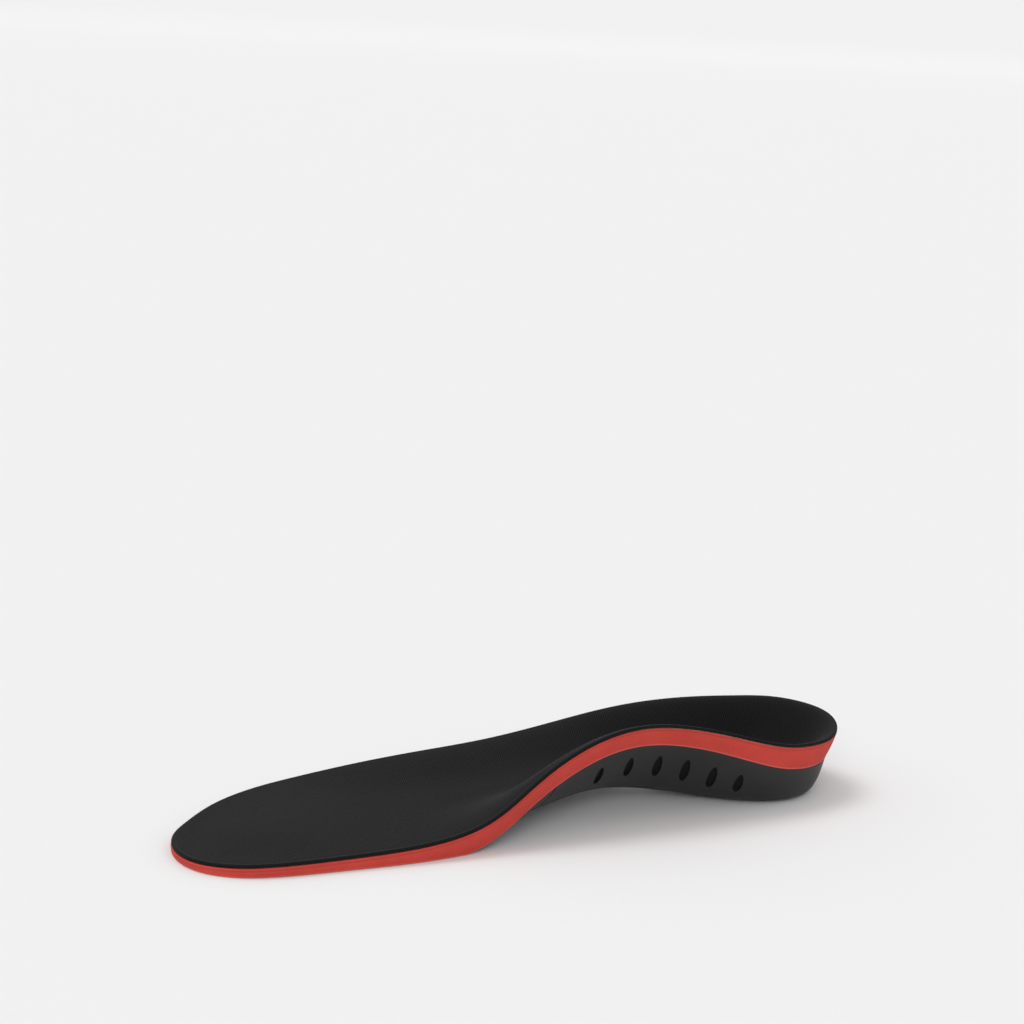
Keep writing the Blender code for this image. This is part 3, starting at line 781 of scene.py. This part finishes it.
cover_rings = np.concatenate([np.linspace(0.0, 0.88, 44), np.linspace(0.88, 1.0, 34)[1:]])
cover_share = (1 - COVER_EDGE / span)[:, None, None]
cover_plan = starts[:, None] + (ends[:, None, :2] - starts[:, None]) * cover_rings[:, None] * cover_share
cover_place, cover_normal = on_surface(top_height, cover_plan)
from_edge = (1 - cover_rings * cover_share[..., 0]) * span[:, None]
lip = (
    -LIP_GROOVE[0] * np.exp(-(((from_edge - LIP_GROOVE[1]) / LIP_GROOVE[2]) ** 2))
    + LIP_RIDGE[0] * np.exp(-(((from_edge - LIP_RIDGE[1]) / LIP_RIDGE[2]) ** 2))
)
cover_top = cover_place + cover_normal * (COVER_HIGH + lip)[..., None]
rim_top, rim_up = on_surface(top_height, ends[:, :2])
cover_wall = edge_points(
    rim_top, rim_up, cover_place[:, -2], rim_top, rounded_wall(COVER_LOW, COVER_HIGH, COVER_EDGE, 6)
)
cover_under = (cover_place + cover_normal * COVER_LOW)[:, ::-2]
cover_grid = np.concatenate([cover_top, cover_wall, cover_under], axis=1)
walked = np.cumsum(np.linalg.norm(np.diff(cover_grid, axis=1, prepend=cover_grid[:, :1]), axis=2), axis=1)
cut_map = starts[:, None] + outward[:, None, :2] * walked[..., None]
bare_edge = np.zeros(cover_grid.shape[:2])
bare_edge[:, cover_top.shape[1]:] = 1.0
# A painted highlight along the ridge of the pressed lip, as wide as the lip's highlight width.
lip_highlight_mark = np.zeros(cover_grid.shape[:2])
lip_highlight_mark[:, :cover_top.shape[1]] = np.exp(-(((from_edge - LIP_RIDGE[1]) / LIP_HIGHLIGHT_WIDTH) ** 2))
cloth_marks = {"bare_edge": bare_edge, "painted_lip_highlight": lip_highlight_mark}
cover = body("top_cover_cloth", cover_grid, cloth_map=cut_map, marks=cloth_marks)

cloth, tree, shader = blank("black_twill_cloth", 0.85)
cut = add(tree, "UVMap", uv_map="cut").outputs["UV"]
waver = add(tree, "TexNoise", {"Vector": cut, "Scale": 700.0, "Detail": 2.0}).outputs["Color"]
jitter = add(tree, "VectorMath", {0: waver, 1: (0.5, 0.5, 0.5)}, operation="SUBTRACT").outputs[0]
jitter = add(tree, "VectorMath", {0: jitter, "Scale": WAVER}, operation="SCALE").outputs[0]
weave = add(tree, "VectorMath", {0: cut, 1: jitter}, operation="ADD").outputs[0]


def threads(turn, spacing):
    """Parallel ridges at a turn from the length, one every spacing metres, as 0.5 + 0.5 sine."""
    turned = add(tree, "Mapping", {"Vector": weave, "Rotation": (0.0, 0.0, turn)}).outputs[0]
    across_them = add(tree, "SeparateXYZ", {"Vector": turned}).outputs["X"]
    wave = arithmetic(tree, "SINE", arithmetic(tree, "MULTIPLY", across_them, 2 * math.pi / spacing))
    return arithmetic(tree, "MULTIPLY_ADD", wave, 0.5, 0.5)


twill = threads(*TWILL)
floats = threads(*FLOATS)
knit = arithmetic(tree, "MULTIPLY", twill, arithmetic(tree, "MULTIPLY_ADD", floats, 0.55, 0.45))
fuzz = noise(tree, cut, 5200.0, 3.0)
wear = noise(tree, cut, 28.0, 5.0, Roughness=0.62)
tone = summed(tree, (knit, 0.6), (fuzz, 0.25), (wear, 0.25))
colour = ramp(tree, tone, [
    (0.15, (0.0026, 0.0024, 0.0027)), (0.5, (0.0069, 0.0063, 0.0070)), (0.9, (0.0160, 0.0148, 0.0162)),
])
# A painted highlight lightens the cloth along the pressed lip.
lip_highlight = add(tree, "Attribute", attribute_name="painted_lip_highlight").outputs["Fac"]
colour = tinted(tree, colour, arithmetic(tree, "MULTIPLY", lip_highlight, 0.2), (0.028, 0.027, 0.028))
bared = add(tree, "Attribute", attribute_name="bare_edge").outputs["Fac"]
colour = tinted(tree, colour, arithmetic(tree, "MULTIPLY", bared, 0.2), (0.006, 0.006, 0.0065))
tree.links.new(colour, shader.inputs["Base Color"])
tree.links.new(between(tree, knit, 0.92, 0.74), shader.inputs["Roughness"])
shader.inputs["Specular IOR Level"].default_value = 0.12
shader.inputs["Sheen Weight"].default_value = 0.027
shader.inputs["Sheen Roughness"].default_value = 0.45
shader.inputs["Sheen Tint"].default_value = (0.9, 0.88, 0.92, 1.0)
relief = arithmetic(tree, "MULTIPLY_ADD", fuzz, 0.35, knit)
bumped(tree, shader, relief, 0.00014, 0.8)
cover.data.materials.append(cloth)

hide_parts("top_cover_rear", "top_cover_toe")
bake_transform(cover)

# ---------------------------------------------------------------------------------------------------------
# The table: a plain pale floor, wide as a room, whose edge curves up all round into an evenly lit backdrop.

FLOOR_RADIUS = 9000.0
CURVE_RADIUS = 2000.0
BACKDROP_GLOW = 0.885
BACKDROP_FROM = 0.1

flat_radii = np.linspace(0.0, FLOOR_RADIUS, 40)
bend = np.linspace(0.0, math.pi / 2, 30)[1:]
radii = np.concatenate([flat_radii, FLOOR_RADIUS + CURVE_RADIUS * np.sin(bend)])
heights = np.concatenate([np.zeros_like(flat_radii), CURVE_RADIUS * (1 - np.cos(bend))])
turn = np.linspace(0.0, 2 * math.pi, 96, endpoint=False)[:, None]
bowl = np.stack([np.cos(turn) * radii, np.sin(turn) * radii, np.ones_like(turn) * heights], axis=2)
table_top = body("table_sweep", bowl)

paper, tree, shader = blank("pale_paper", 0.95)
place = add(tree, "TexCoord").outputs["Object"]
tooth = noise(tree, place, 300.0, 3.0)
colour = ramp(tree, tooth, [(0.3, (0.800, 0.800, 0.800)), (0.7, (0.806, 0.806, 0.806))])
height = add(tree, "SeparateXYZ", {"Vector": place}).outputs["Z"]
raised = add(tree, "MapRange", {"Value": height, "From Max": BACKDROP_FROM}, interpolation_type="SMOOTHSTEP")
raised = raised.outputs["Result"]
colour = tinted(tree, colour, raised, (0.0, 0.0, 0.0))
tree.links.new(colour, shader.inputs["Base Color"])
tree.links.new(arithmetic(tree, "MULTIPLY", raised, BACKDROP_GLOW), shader.inputs["Emission Strength"])
shader.inputs["Emission Color"].default_value = (1.0, 1.0, 1.0, 1.0)
shader.inputs["Specular IOR Level"].default_value = 0.0
table_top.data.materials.append(paper)

# ---------------------------------------------------------------------------------------------------------
# Light: an even white room, a high soft light from the left, and a low soft one from beside the camera that
# reaches under the arch. Each of the two has a strength, a spread in degrees and the way its light travels.

ROOM_STRENGTH = 0.755
SOFT_LIGHTS = (
    ("high_soft_light", 0.85, 30.0, (0.35, -0.35, -1.0)),
    ("low_soft_light", 0.75, 24.0, (0.55, 0.75, -0.42)),
)

room = bpy.data.worlds.new("even_room")
bpy.context.scene.world = room
room.use_nodes = True
room.node_tree.nodes["Background"].inputs["Color"].default_value = (1.0, 1.0, 1.0, 1.0)
room.node_tree.nodes["Background"].inputs["Strength"].default_value = ROOM_STRENGTH


for name, strength, spread, travel in SOFT_LIGHTS:
    sun = bpy.data.lights.new(name, "SUN")
    sun.energy = strength
    sun.angle = math.radians(spread)
    sun_object = bpy.data.objects.new(name, sun)
    sun_object.rotation_euler = Vector(travel).to_track_quat("-Z", "Y").to_euler()
    bpy.context.scene.collection.objects.link(sun_object)

# ---------------------------------------------------------------------------------------------------------
# Camera: a long lens low over the inner side, looking across the arch from the toes' side.

TURN = math.radians(-29.81)
RISE = math.radians(11.19)
ROLL = math.radians(-2.92)
DISTANCE = 994.94
ASIDE = -5.76
ABOVE = 107.71
LENS = 96.62

back = np.array([math.sin(TURN) * math.cos(RISE), -math.cos(TURN) * math.cos(RISE), math.sin(RISE)])
right = np.array([math.cos(TURN), math.sin(TURN), 0.0])
up = np.cross(back, right)
spot = back * DISTANCE + right * ASIDE + up * ABOVE + (0.0, HEEL_LINE_Y, 0.0)
axes = np.stack([
    math.cos(ROLL) * right - math.sin(ROLL) * up, math.sin(ROLL) * right + math.cos(ROLL) * up, back
], axis=1)
view = bpy.data.cameras.new("camera")
view.lens = LENS
view.sensor_width = 36.0
view.clip_end = 50.0
camera = bpy.data.objects.new("camera", view)
camera.matrix_world = Matrix.Translation(spot * MM) @ Matrix(axes.tolist()).to_4x4()
bpy.context.scene.collection.objects.link(camera)
bpy.context.scene.camera = camera
bpy.context.scene.view_settings.view_transform = "Standard"
